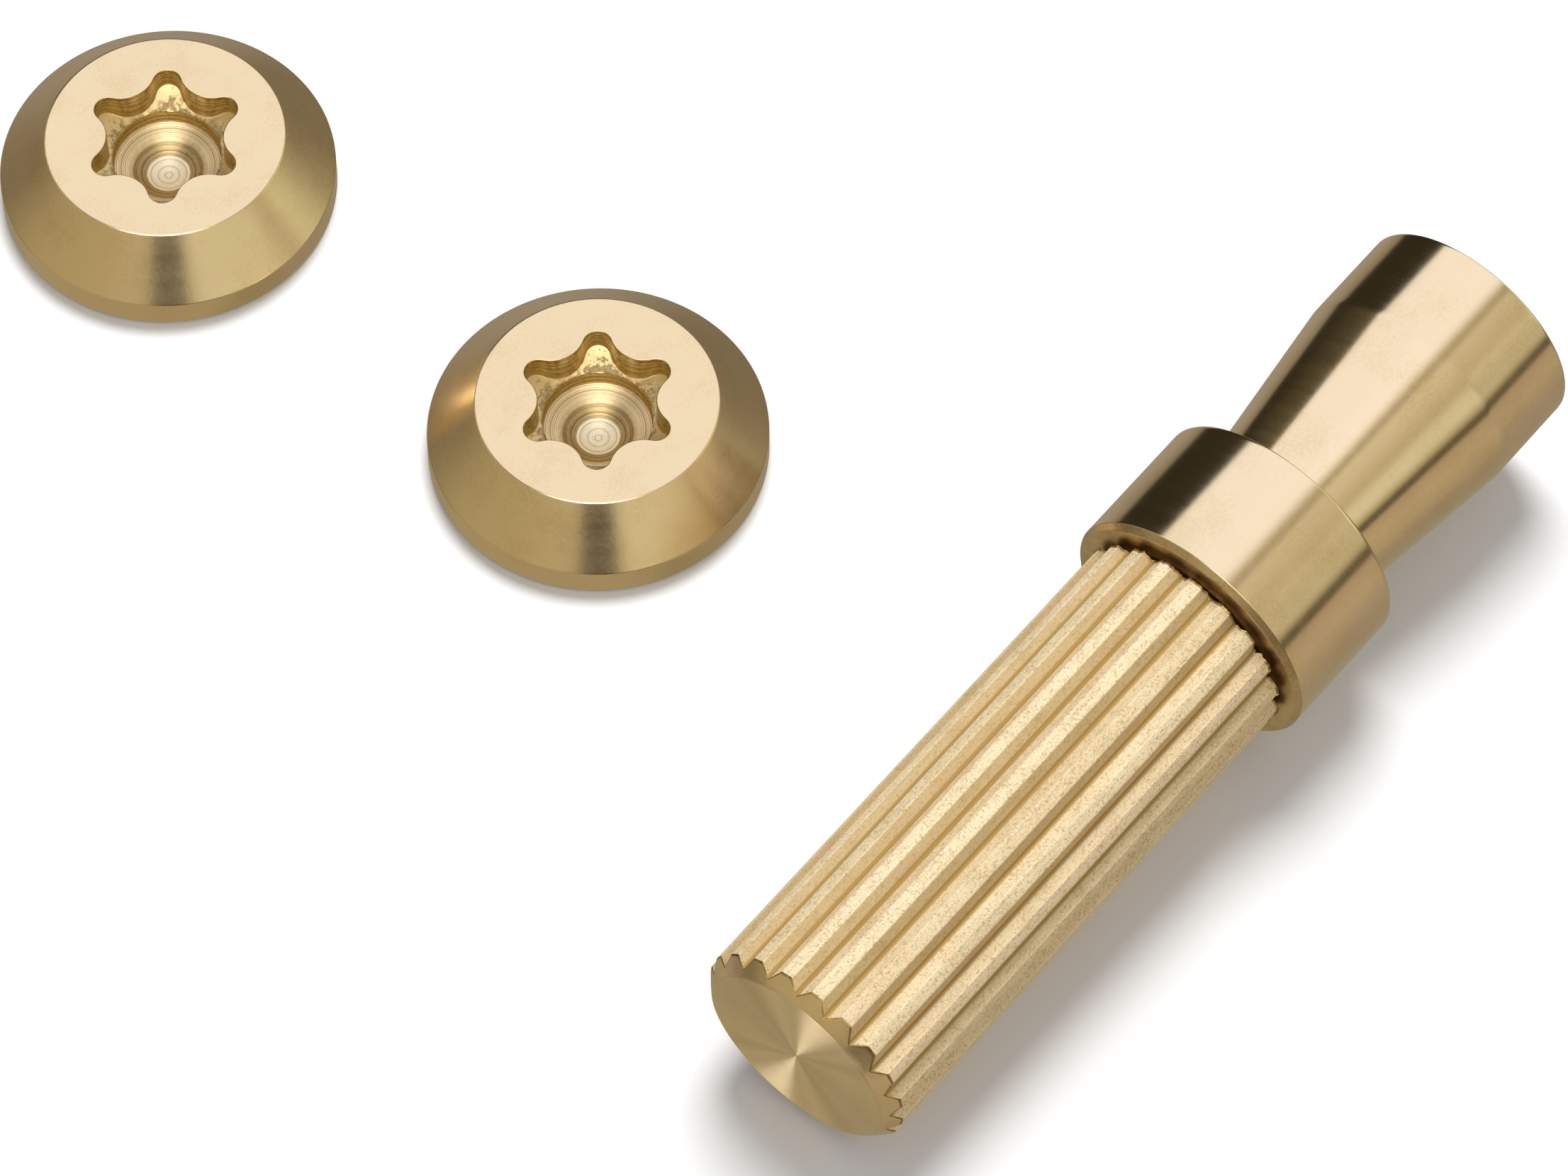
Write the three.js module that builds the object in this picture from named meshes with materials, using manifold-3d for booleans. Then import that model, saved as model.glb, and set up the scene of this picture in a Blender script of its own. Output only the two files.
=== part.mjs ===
// A three-piece turned brass set lying on a flat surface: one fluted hand
// tool with a collar and a flared head, and two low bevelled round caps with
// a six-lobe driving recess. Millimetres, +Z up. +X runs along the tool from
// the fluted grip to the flared head, +Y runs towards the two caps. The
// origin is at the bottom centre of the set's bounding box.
import * as THREE from 'three';
import { mergeVertices } from 'three/addons/utils/BufferGeometryUtils.js';
import Module from 'manifold-3d';

const wasm = await Module();
wasm.setup();

// ---------------------------------------------------------------- dimensions
// Positions along the tool are distances S from the flat end of the grip.
const GRIP_CREST_R = 4.12;      // radius over the flute crests
const GRIP_END_R = 3.64;        // radius of the flat end face
const GRIP_CHAMFER = 0.55;      // axial length of the end chamfer at a crest
const FLUTES = 20;
const FLUTE_DEPTH = 0.30;
const FLUTE_CREST_SHARE = 0.34; // share of the pitch taken by the crest land
const FLUTE_PHASE_DEG = 7.8;    // first crest, measured from the top of the tool
const FLUTE_END_S = 20.40;      // the flutes run out here, in the relief neck
const RELIEF_R = 3.62;          // plain neck between the flutes and the collar
const GRIP_FACE_S = 20.80;      // shoulder that the collar is clamped against
const GRIP_BORE_S = 10.0;       // bottom of the grip's stud hole

const STUD_R = 2.0;             // M4 stud, 0.7 mm pitch
const STUD_BORE_R = 2.05;       // running fit round the stud
const STUD_START_S = 10.2;
const STUD_END_S = 30.4;
const STUD_CHAMFER = 0.35;

const COLLAR_R = 4.79;
const COLLAR_START_S = 20.85;
const COLLAR_END_S = 26.03;
const COLLAR_WEB_S = 22.00;     // end of the web that is clamped on the stud
const COLLAR_WEB_BORE_R = 2.08;
const COLLAR_BORE_R = 3.44;     // takes the head's spigot
const COLLAR_REAR_EDGE = 0.20;
const COLLAR_FRONT_EDGE = 0.10;

const HEAD_SPIGOT_R = 3.39;     // the neck carries on into the collar
const HEAD_START_S = 22.05;
const HEAD_CONE_END_S = 33.02;
const HEAD_R = 4.22;
const HEAD_END_S = 36.63;
const HEAD_EDGE = 0.10;
const HEAD_BORE_END_S = 31.0;   // bottom of the head's stud hole
const HEAD_CUP_R = 3.10;        // mouth radius of the shallow cup in the end
const HEAD_CUP_DEPTH = 1.10;

const CAP_R = 6.0;
const CAP_H = 3.0;
const CAP_RIM_H = 1.08;         // upright rim under the bevel
const CAP_FLAT_R = 4.26;        // flat top inside the bevel
const CAP_FOOT_EDGE = 0.10;
const LOBE_POINT_R = 2.86;      // half the distance across the lobes
const LOBE_WAIST_R = 2.07;     // half the distance across the waists
const LOBE_TIP_R = 0.50;        // radius of each lobe's tip
const LOBE_TIP_DEPTH = 0.80;    // the lobe floors fall towards the pilot hole
const LOBE_INNER_DEPTH = 1.22;
const PILOT_R = 1.93;
const PILOT_DEPTH = 1.80;
const PILOT_CONE_DEPTH = 2.04;
const CENTRE_R = 1.27;          // centre-drilled cone in the pilot's floor
const CENTRE_TIP_R = 0.79;
const CENTRE_STEP_DEPTH = 2.30;
const CENTRE_DEPTH = 2.42;
const LOBE_ANGLE_DEG = 39.85;   // one lobe points this way from +X

// Placement. The tool rests on the edge of its collar and on the two lowest
// crests at the grip's end, so it rises slightly towards the head.
const FLUTE_PITCH_DEG = 360 / FLUTES;
const CREST_HALF_DEG = FLUTE_PITCH_DEG * FLUTE_CREST_SHARE / 2;
const FROM_CREST_DEG = (180 - FLUTE_PHASE_DEG) -
  FLUTE_PITCH_DEG * Math.round((180 - FLUTE_PHASE_DEG) / FLUTE_PITCH_DEG);
const GRIP_REST_R = GRIP_CREST_R *
  Math.cos(Math.max(0, Math.abs(FROM_CREST_DEG) - CREST_HALF_DEG) * Math.PI / 180);
const RISE = Math.asin((COLLAR_R - GRIP_REST_R) /
  (COLLAR_START_S + COLLAR_REAR_EDGE - GRIP_CHAMFER));
const CAP_1_FROM_GRIP = [14.97, 41.41];
const CAP_2_FROM_GRIP = [16.17, 22.32];
const ORIGIN_FROM_GRIP = [18.313, 21.31];

const ROUND = 64;               // facets on turned surfaces

// ------------------------------------------------------------------- helpers
// A solid of revolution round +Z from [radius, height] points. The profile
// starts and ends on the axis, or closes on itself, with material on its left
// when it goes up the outside.
function turned(profile, segments = ROUND) {
  const g = new THREE.LatheGeometry(
    profile.map(([r, z]) => new THREE.Vector2(r, z)), segments);
  g.rotateX(Math.PI / 2);
  return g;
}

function extruded(points, z0, z1) {
  const shape = new THREE.Shape(points.map(([x, y]) => new THREE.Vector2(x, y)));
  const g = new THREE.ExtrudeGeometry(shape, { depth: z1 - z0, bevelEnabled: false, steps: 1 });
  g.translate(0, 0, z0);
  return g;
}

function solid(geometry) {
  let g = geometry.clone();
  g.deleteAttribute('normal');
  g.deleteAttribute('uv');
  g = mergeVertices(g, 1e-5);
  const index = g.index.array;
  const tri = [];
  for (let i = 0; i < index.length; i += 3) {
    const [a, b, c] = [index[i], index[i + 1], index[i + 2]];
    if (a !== b && b !== c && a !== c) tri.push(a, b, c);
  }
  return new wasm.Manifold(new wasm.Mesh({
    numProp: 3,
    vertProperties: new Float32Array(g.attributes.position.array),
    triVerts: new Uint32Array(tri),
  }));
}

function geometryOf(manifold) {
  const m = manifold.getMesh();
  const g = new THREE.BufferGeometry();
  const n = m.numProp;
  const count = m.vertProperties.length / n;
  const xyz = new Float32Array(count * 3);
  for (let i = 0; i < count; i++) {
    xyz[3 * i] = m.vertProperties[n * i];
    xyz[3 * i + 1] = m.vertProperties[n * i + 1];
    xyz[3 * i + 2] = m.vertProperties[n * i + 2];
  }
  g.setAttribute('position', new THREE.BufferAttribute(xyz, 3));
  g.setIndex(new THREE.BufferAttribute(new Uint32Array(m.triVerts), 1));
  g.computeVertexNormals();
  return g;
}

const BRASS = { metalness: 1.0 };
const material = (color, roughness) =>
  new THREE.MeshStandardMaterial({ ...BRASS, color, roughness });

function mesh(name, geometry, mat) {
  const m = new THREE.Mesh(geometry, mat);
  m.name = name;
  return m;
}

// ------------------------------------------------------------ the hand tool
// In the tool's own frame S is +Z and the top of the tool is -X.

// Section of the fluted grip: flat-topped crests between straight-sided vees.
function fluteSection() {
  const pitch = 2 * Math.PI / FLUTES;
  const land = pitch * FLUTE_CREST_SHARE / 2;
  const phase = (FLUTE_PHASE_DEG + 180) * Math.PI / 180;
  const points = [];
  for (let i = 0; i < FLUTES; i++) {
    const mid = phase + i * pitch;
    for (const [angle, radius] of [
      [mid - land, GRIP_CREST_R],
      [mid, GRIP_CREST_R],
      [mid + land, GRIP_CREST_R],
      [mid + pitch / 2, GRIP_CREST_R - FLUTE_DEPTH],
    ]) points.push([radius * Math.cos(angle), radius * Math.sin(angle)]);
  }
  return points;
}

function flutedGrip() {
  const fluted = solid(extruded(fluteSection(), 0, FLUTE_END_S));
  const wide = GRIP_CREST_R + 0.25;
  const slope = GRIP_CHAMFER / (GRIP_CREST_R - GRIP_END_R);
  const envelope = solid(turned([
    [0, 0], [GRIP_END_R, 0], [wide, (wide - GRIP_END_R) * slope],
    [wide, FLUTE_END_S + 1], [0, FLUTE_END_S + 1],
  ], 4 * FLUTES));
  const neck = solid(turned([
    [0, FLUTE_END_S - 2], [RELIEF_R, FLUTE_END_S - 2],
    [RELIEF_R, GRIP_FACE_S], [0, GRIP_FACE_S],
  ]));
  const hole = solid(turned([
    [0, GRIP_BORE_S - 0.8], [STUD_BORE_R, GRIP_BORE_S],
    [STUD_BORE_R, GRIP_FACE_S + 1], [0, GRIP_FACE_S + 1],
  ], 32));
  return geometryOf(fluted.intersect(envelope).add(neck).subtract(hole));
}

function tieStud() {
  return geometryOf(solid(turned([
    [0, STUD_START_S],
    [STUD_R - STUD_CHAMFER, STUD_START_S],
    [STUD_R, STUD_START_S + STUD_CHAMFER],
    [STUD_R, STUD_END_S - STUD_CHAMFER],
    [STUD_R - STUD_CHAMFER, STUD_END_S],
    [0, STUD_END_S],
  ], 32)));
}

function collar() {
  const body = solid(turned([
    [0, COLLAR_START_S],
    [COLLAR_R - COLLAR_REAR_EDGE, COLLAR_START_S],
    [COLLAR_R, COLLAR_START_S + COLLAR_REAR_EDGE],
    [COLLAR_R, COLLAR_END_S - COLLAR_FRONT_EDGE],
    [COLLAR_R - COLLAR_FRONT_EDGE, COLLAR_END_S],
    [0, COLLAR_END_S],
  ]));
  const hole = solid(turned([
    [0, COLLAR_START_S - 1], [COLLAR_WEB_BORE_R, COLLAR_START_S - 1],
    [COLLAR_WEB_BORE_R, COLLAR_WEB_S], [COLLAR_BORE_R, COLLAR_WEB_S],
    [COLLAR_BORE_R, COLLAR_END_S + 1], [0, COLLAR_END_S + 1],
  ]));
  return geometryOf(body.subtract(hole));
}

function flaredHead() {
  const cup = [];
  const steps = 6;
  for (let i = 0; i <= steps; i++) {
    const r = HEAD_CUP_R * (1 - i / steps);
    const depth = HEAD_CUP_DEPTH * (1 - (r / HEAD_CUP_R) ** 2);
    cup.push([r, HEAD_END_S - depth]);
  }
  const body = solid(turned([
    [0, HEAD_START_S],
    [HEAD_SPIGOT_R - 0.2, HEAD_START_S],
    [HEAD_SPIGOT_R, HEAD_START_S + 0.2],
    [HEAD_SPIGOT_R, COLLAR_END_S],
    [HEAD_R, HEAD_CONE_END_S],
    [HEAD_R, HEAD_END_S - HEAD_EDGE],
    [HEAD_R - HEAD_EDGE, HEAD_END_S],
    ...cup,
  ]));
  const hole = solid(turned([
    [0, HEAD_START_S - 1], [STUD_BORE_R, HEAD_START_S - 1],
    [STUD_BORE_R, HEAD_BORE_END_S], [0, HEAD_BORE_END_S + 0.8],
  ], 32));
  return geometryOf(body.subtract(hole));
}

const tool = new THREE.Group();
tool.position.set(
  -ORIGIN_FROM_GRIP[0],
  -ORIGIN_FROM_GRIP[1],
  GRIP_REST_R * Math.cos(RISE) - GRIP_CHAMFER * Math.sin(RISE));
tool.rotation.y = Math.PI / 2 - RISE;
tool.add(
  mesh('fluted_grip', flutedGrip(), material(0xe2c488, 0.38)),
  mesh('tie_stud', tieStud(), material(0xa9a9a6, 0.35)),
  mesh('collar', collar(), material(0xdcbb80, 0.22)),
  mesh('flared_head', flaredHead(), material(0xdcbb80, 0.22)));

// ----------------------------------------------------------------- the caps
// Six-lobe outline made of tangent arcs: tips of radius LOBE_TIP_R, joined by
// inward arcs that touch the waist radius.
function lobeOutline(arcSteps = 5) {
  const tipCentre = LOBE_POINT_R - LOBE_TIP_R;
  const c = Math.cos(Math.PI / 6);
  const k = LOBE_WAIST_R - LOBE_TIP_R;
  // distance to the inward arc's centre, from the two circles being tangent
  const far = (tipCentre * tipCentre - k * k) / (2 * (tipCentre * c - k));
  const inward = far - LOBE_WAIST_R;
  const cx = far * c - tipCentre;
  const cy = far * 0.5;
  const join = Math.atan2(cy, cx);     // direction from tip centre to inward centre
  const points = [];
  for (let i = 0; i < 6; i++) {
    const base = i * Math.PI / 3;
    const put = (x, y) => points.push([
      x * Math.cos(base) - y * Math.sin(base), x * Math.sin(base) + y * Math.cos(base)]);
    for (let j = -arcSteps; j <= arcSteps; j++) {
      const a = join * j / arcSteps;
      put(tipCentre + LOBE_TIP_R * Math.cos(a), LOBE_TIP_R * Math.sin(a));
    }
    // inward arc from this tip to the next, its own centre at 30 degrees
    const ox = far * c, oy = far * 0.5;
    let from = Math.atan2(-cy, -cx);
    let to = Math.PI / 3 - from;
    while (to - from > Math.PI) to -= 2 * Math.PI;
    while (to - from < -Math.PI) to += 2 * Math.PI;
    for (let j = 1; j < 4; j++) {
      const a = from + (to - from) * j / 4;
      put(ox + inward * Math.cos(a), oy + inward * Math.sin(a));
    }
  }
  return points;
}

function cap() {
  const body = solid(turned([
    [0, 0], [CAP_R - CAP_FOOT_EDGE, 0], [CAP_R, CAP_FOOT_EDGE],
    [CAP_R, CAP_RIM_H], [CAP_FLAT_R, CAP_H], [0, CAP_H],
  ]));
  const outline = solid(extruded(lobeOutline(), CAP_H - 2.2, CAP_H + 1));
  const fall = (LOBE_INNER_DEPTH - LOBE_TIP_DEPTH) / (LOBE_POINT_R - PILOT_R);
  const floor = solid(turned([
    [0, CAP_H - LOBE_INNER_DEPTH], [PILOT_R, CAP_H - LOBE_INNER_DEPTH],
    [LOBE_POINT_R + 0.5, CAP_H - LOBE_TIP_DEPTH + 0.5 * fall],
    [LOBE_POINT_R + 0.5, CAP_H + 0.5], [0, CAP_H + 0.5],
  ]));
  const pilot = solid(turned([
    [0, CAP_H - CENTRE_DEPTH],
    [CENTRE_TIP_R, CAP_H - CENTRE_STEP_DEPTH],
    [CENTRE_R, CAP_H - PILOT_CONE_DEPTH],
    [PILOT_R, CAP_H - PILOT_DEPTH],
    [PILOT_R, CAP_H - 0.6], [0, CAP_H - 0.6],
  ]));
  return geometryOf(body.subtract(outline.intersect(floor).add(pilot)));
}

function placedCap(name, at) {
  const m = mesh(name, cap(), material(0xd9b778, 0.3));
  m.position.set(at[0] - ORIGIN_FROM_GRIP[0], at[1] - ORIGIN_FROM_GRIP[1], 0);
  m.rotation.z = LOBE_ANGLE_DEG * Math.PI / 180;
  return m;
}

const group = new THREE.Group();
group.add(tool, placedCap('cap_1', CAP_1_FROM_GRIP), placedCap('cap_2', CAP_2_FROM_GRIP));

export default group;
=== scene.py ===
import math

import bmesh
import bpy
from mathutils import Matrix, Vector, noise


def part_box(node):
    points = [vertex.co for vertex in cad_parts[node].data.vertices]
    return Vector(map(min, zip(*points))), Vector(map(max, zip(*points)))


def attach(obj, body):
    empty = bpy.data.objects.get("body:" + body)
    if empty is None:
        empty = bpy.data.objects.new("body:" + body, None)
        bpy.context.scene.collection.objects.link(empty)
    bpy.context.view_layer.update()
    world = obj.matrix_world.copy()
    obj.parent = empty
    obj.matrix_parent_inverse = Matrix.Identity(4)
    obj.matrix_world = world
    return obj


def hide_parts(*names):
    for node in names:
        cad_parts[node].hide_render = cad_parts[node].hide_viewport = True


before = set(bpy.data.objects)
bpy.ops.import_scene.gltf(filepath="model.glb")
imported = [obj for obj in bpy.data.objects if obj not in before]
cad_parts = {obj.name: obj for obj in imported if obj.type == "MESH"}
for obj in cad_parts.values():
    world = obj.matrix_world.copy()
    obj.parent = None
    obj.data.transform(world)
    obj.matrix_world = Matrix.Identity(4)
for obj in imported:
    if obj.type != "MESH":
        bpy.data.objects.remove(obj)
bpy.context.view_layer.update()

MM = 0.001

# ---------------------------------------------------------------- dimensions
# The same numbers as the CAD source, in millimetres.
GRIP_CREST_R, GRIP_END_R, GRIP_CHAMFER = 4.12, 3.64, 0.55
FLUTES, FLUTE_DEPTH, FLUTE_CREST_SHARE, FLUTE_PHASE = 20, 0.30, 0.34, 7.8
FLUTE_END_S, RELIEF_R, GRIP_FACE_S, GRIP_BORE_S = 20.40, 3.62, 20.80, 10.0
STUD_BORE_R, STUD_START_S, STUD_END_S = 2.05, 10.2, 30.4
THREAD_R, THREAD_ROOT_R, THREAD_PITCH = 1.985, 1.57, 0.7
COLLAR_R, COLLAR_START_S, COLLAR_END_S = 4.79, 20.85, 26.03
COLLAR_WEB_S, COLLAR_WEB_BORE_R, COLLAR_BORE_R = 22.0, 2.08, 3.44
COLLAR_REAR_EDGE, COLLAR_FRONT_EDGE = 0.20, 0.10
HEAD_SPIGOT_R, HEAD_START_S, HEAD_CONE_END_S = 3.39, 22.05, 33.02
HEAD_R, HEAD_END_S, HEAD_EDGE, HEAD_BORE_END_S = 4.22, 36.63, 0.10, 31.0
HEAD_CUP_R, HEAD_CUP_DEPTH = 3.10, 1.10
CAP_R, CAP_H, CAP_RIM_H, CAP_FLAT_R, CAP_FOOT_EDGE = 6.0, 3.0, 1.08, 4.26, 0.10
LOBE_POINT_R, LOBE_WAIST_R, LOBE_TIP_R = 2.86, 2.07, 0.50
LOBE_TIP_DEPTH, LOBE_INNER_DEPTH = 0.80, 1.22
PILOT_R, PILOT_DEPTH, PILOT_CONE_DEPTH = 1.93, 1.80, 2.04
CENTRE_R, CENTRE_TIP_R, CENTRE_STEP_DEPTH, CENTRE_DEPTH = 1.27, 0.79, 2.30, 2.42
LOBE_ANGLE = 39.85
RISE = math.radians(1.91233098)
TOOL_ORIGIN = Vector((-18.313, -21.31, 4.0852689))
SKIN = 0.006                    # the visible skin stays this far inside the CAD's

# The caps stand where the CAD puts them: their centres are their boxes' centres.
def centre_of(node):
    lo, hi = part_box(node)
    return Vector(((lo.x + hi.x) / 2 / MM, (lo.y + hi.y) / 2 / MM, lo.z / MM))

A = Vector((math.cos(RISE), 0, math.sin(RISE)))     # along the tool
W = Vector((-math.sin(RISE), 0, math.cos(RISE)))    # its top
U = Vector((0, 1, 0))


def tool_point(r, s, t):
    """Radius, distance from the grip's end and angle from the top, to the row frame in metres."""
    return (TOOL_ORIGIN + A * s + W * (r * math.cos(t)) - U * (r * math.sin(t))) * MM


# ------------------------------------------------------------------- helpers
def rounded(points, steps=4, support=0.035):
    """Rounds each corner of a profile of (r, s, radius), with support points beside each arc."""
    out = []
    n = len(points)
    for i, (r, s, q) in enumerate(points):
        p = Vector((r, s))
        if q <= 0 or i in (0, n - 1):
            out.append(p)
            continue
        a = Vector(points[i - 1][:2]) - p
        b = Vector(points[i + 1][:2]) - p
        la, lb = a.length, b.length
        a, b = a / la, b / lb
        t = min(q, 0.42 * la, 0.42 * lb)
        if la > 2.2 * t + 2 * support:
            out.append(p + a * (t + support))
        for k in range(steps + 1):
            f = k / steps
            out.append((p + a * t) * (1 - f) ** 2 + p * 2 * f * (1 - f) + (p + b * t) * f ** 2)
        if lb > 2.2 * t + 2 * support:
            out.append(p + b * (t + support))
    return out


def subdivided(points, longest):
    out = [points[0]]
    for a, b in zip(points, points[1:]):
        n = max(1, int(math.ceil((b - a).length / longest)))
        for k in range(1, n + 1):
            out.append(a.lerp(b, k / n))
    return out


def finish_mesh(name, verts, faces, uvs, mats, indices, sharp=38.0):
    """A mesh object from vertex places, faces, one UV per face corner and a material index per face."""
    me = bpy.data.meshes.new(name)
    me.from_pydata([tuple(v) for v in verts], [], faces)
    layer = me.uv_layers.new(name="UVMap")
    k = 0
    for f in uvs:
        for uv in f:
            layer.data[k].uv = uv
            k += 1
    for m in mats:
        me.materials.append(m)
    for p, i in zip(me.polygons, indices):
        p.material_index = i
        p.use_smooth = True
    bm = bmesh.new()
    bm.from_mesh(me)
    bmesh.ops.remove_doubles(bm, verts=bm.verts, dist=2e-8)
    bmesh.ops.dissolve_degenerate(bm, edges=bm.edges, dist=1e-8)
    bmesh.ops.recalc_face_normals(bm, faces=bm.faces)
    bm.to_mesh(me)
    bm.free()
    me.set_sharp_from_angle(angle=math.radians(sharp))
    me.update()
    o = bpy.data.objects.new(name, me)
    bpy.context.scene.collection.objects.link(o)
    return o


def sweep(name, columns, stations_v, width, mats, material_of, pole_start, pole_end, closed=False):
    """A skin from columns of points that run round an axis, each with the same number of stations.
    stations_v gives each station's place along the profile and width the girth, both in mm, for the UVs."""
    n, m = len(columns), len(columns[0])
    verts = [p for c in columns for p in c]
    faces, uvs, idx = [], [], []
    last = m if closed else m - 1
    total = stations_v[-1]
    for j in range(n):
        j2 = (j + 1) % n
        u0, u1 = width * j / n, width * (j + 1) / n
        for i in range(last):
            i2 = (i + 1) % m
            v0 = stations_v[i]
            v1 = stations_v[i + 1] if i + 1 < m else total + 0.3
            a, b, c, d = j * m + i, j2 * m + i, j2 * m + i2, j * m + i2
            if pole_start and i == 0:
                faces.append((a, c, d)); uvs.append(((u0, v0), (u1, v1), (u0, v1)))
            elif pole_end and i == last - 1:
                faces.append((a, b, d)); uvs.append(((u0, v0), (u1, v0), (u0, v1)))
            else:
                faces.append((a, b, c, d)); uvs.append(((u0, v0), (u1, v0), (u1, v1), (u0, v1)))
            idx.append(material_of(i))
    return finish_mesh(name, verts, faces, uvs, mats, idx)


def lathe(name, profile, place, mats, material_of=lambda r, s: 0, segments=256, closed=False, width=None):
    """A turned skin. profile holds (r, s) in mm and place(r, s, t) gives the row frame."""
    v, total = [0.0], 0.0
    for a, b in zip(profile, profile[1:]):
        total += (b - a).length
        v.append(total)
    start = math.pi
    columns = []
    for j in range(segments):
        t = start + 2 * math.pi * j / segments
        columns.append([place(p.x, p.y, t) for p in profile])
    girth = width or 2 * math.pi * max(p.x for p in profile)

    def of(i):
        q = profile[(i + 1) % len(profile)]
        p = (profile[i] + q) / 2
        return material_of(p.x, p.y)
    return sweep(name, columns, v, girth, mats, of,
                 profile[0].x < 1e-6 and not closed, profile[-1].x < 1e-6 and not closed, closed)


# ----------------------------------------------------------------- materials
class Nodes:
    """Short names for the nodes of one tree."""

    def __init__(self, tree):
        self.tree = tree
        tree.nodes.clear()

    def node(self, kind, **settings):
        n = self.tree.nodes.new(kind)
        for k, v in settings.items():
            setattr(n, k, v)
        return n

    def put(self, socket, value):
        if isinstance(value, bpy.types.NodeSocket):
            self.tree.links.new(value, socket)
        elif value is not None:
            socket.default_value = value

    def math(self, op, a, b=None, c=None, clamp=False):
        n = self.node("ShaderNodeMath", operation=op, use_clamp=clamp)
        for i, v in enumerate((a, b, c)):
            self.put(n.inputs[i], v)
        return n.outputs[0]

    def smooth(self, x, lo, hi, to_lo=0.0, to_hi=1.0):
        n = self.node("ShaderNodeMapRange", interpolation_type="SMOOTHSTEP")
        for name, v in (("Value", x), ("From Min", lo), ("From Max", hi), ("To Min", to_lo), ("To Max", to_hi)):
            self.put(n.inputs[name], v)
        return n.outputs[0]

    def ramp(self, x, stops, mode="LINEAR"):
        n = self.node("ShaderNodeValToRGB")
        n.color_ramp.interpolation = mode
        e = n.color_ramp.elements
        while len(e) > 1:
            e.remove(e[-1])
        for k, (at, colour) in enumerate(stops):
            el = e[0] if k == 0 else e.new(at)
            el.position = at
            el.color = (*colour, 1.0)
        self.put(n.inputs[0], x)
        return n.outputs[0]

    def mix(self, fac, a, b, mode="MIX"):
        n = self.node("ShaderNodeMix", data_type="RGBA", blend_type=mode)
        self.put(n.inputs[0], fac)
        for i, v in ((6, a), (7, b)):
            self.put(n.inputs[i], v if isinstance(v, bpy.types.NodeSocket) else (*v, 1.0))
        return n.outputs[2]

    def noise(self, vector, scale, detail=3.0, rough=0.55, dims="3D", w=None):
        n = self.node("ShaderNodeTexNoise", noise_dimensions=dims)
        n.inputs["Scale"].default_value = scale
        n.inputs["Detail"].default_value = detail
        n.inputs["Roughness"].default_value = rough
        if dims == "1D":
            self.put(n.inputs["W"], w)
        else:
            self.put(n.inputs["Vector"], vector)
        return n.outputs["Fac"]

    def scaled(self, vector, scale, location=(0, 0, 0)):
        n = self.node("ShaderNodeMapping")
        n.inputs["Scale"].default_value = scale
        n.inputs["Location"].default_value = location
        self.put(n.inputs["Vector"], vector)
        return n.outputs[0]

    def bump(self, height, distance, strength=1.0, normal=None):
        n = self.node("ShaderNodeBump")
        n.inputs["Strength"].default_value = strength
        n.inputs["Distance"].default_value = distance
        self.put(n.inputs["Height"], height)
        if normal is not None:
            self.put(n.inputs["Normal"], normal)
        return n.outputs[0]


def metal(name, dark, light, rough_lo, rough_hi, anisotropy, across, build, metallic=1.0):
    """A worn metal. build(nodes, uv, obj) returns (colour mix, roughness mix, [(height, distance), ...]).
    across is the turn of the grooves from the way round the piece, in turns."""
    m = bpy.data.materials.new(name)
    m.use_nodes = True
    g = Nodes(m.node_tree)
    uv = g.node("ShaderNodeUVMap", uv_map="UVMap").outputs[0]
    obj = g.node("ShaderNodeTexCoord").outputs["Object"]
    shader = g.node("ShaderNodeBsdfPrincipled")
    out = g.node("ShaderNodeOutputMaterial")
    g.put(out.inputs["Surface"], shader.outputs[0])
    colour, rough, heights = build(g, uv, obj)
    shader.inputs["Metallic"].default_value = metallic
    shader.inputs["Anisotropic"].default_value = anisotropy
    shader.inputs["Anisotropic Rotation"].default_value = across
    g.put(shader.inputs["Base Color"], g.mix(colour, dark, light))
    g.put(shader.inputs["Roughness"], g.smooth(rough, 0.0, 1.0, rough_lo, rough_hi))
    if anisotropy > 0:
        tangent = g.node("ShaderNodeTangent", direction_type="UV_MAP", uv_map="UVMap")
        g.put(shader.inputs["Tangent"], tangent.outputs[0])
    normal = None
    for height, distance in heights:
        normal = g.bump(height, distance, 1.0, normal)
    if normal is not None:
        g.put(shader.inputs["Normal"], normal)
    return m


def v_of(g, uv):
    n = g.node("ShaderNodeSeparateXYZ")
    g.put(n.inputs[0], uv)
    return n.outputs["Y"]


def away(g, obj):
    """Distance from the tool's axis, in mm, at a point of the row frame at rest."""
    n = g.node("ShaderNodeVectorMath", operation="SUBTRACT")
    g.put(n.inputs[0], obj)
    n.inputs[1].default_value = TOOL_ORIGIN * MM
    c = g.node("ShaderNodeVectorMath", operation="CROSS_PRODUCT")
    g.put(c.inputs[0], n.outputs[0])
    c.inputs[1].default_value = A
    size = g.node("ShaderNodeVectorMath", operation="LENGTH")
    g.put(size.inputs[0], c.outputs[0])
    return g.math("MULTIPLY", size.outputs["Value"], 1000.0)


def turned_build(rings, ring_height, spots, grain=0.0):
    """Turning marks: fine rings that depend on the place along the profile alone, and a few faint stains."""
    def build(g, uv, obj):
        v = v_of(g, uv)
        fine = g.noise(None, rings, 3.0, 0.6, "1D", v)
        coarse = g.noise(None, rings * 0.16, 2.0, 0.5, "1D", v)
        stain = g.noise(obj, spots, 4.0, 0.6)
        speck = g.noise(obj, 9000.0, 3.0, 0.6)
        colour = g.smooth(g.math("ADD", g.math("MULTIPLY", stain, 0.6), g.math("MULTIPLY", speck, 0.4)), 0.3, 0.55)
        rough = g.math("ADD", g.math("MULTIPLY", coarse, 0.5), g.math("MULTIPLY", speck, 0.5))
        heights = [(fine, ring_height * MM)]
        if grain > 0:
            heights.append((speck, grain * MM))
        return colour, rough, heights
    return build


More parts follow.
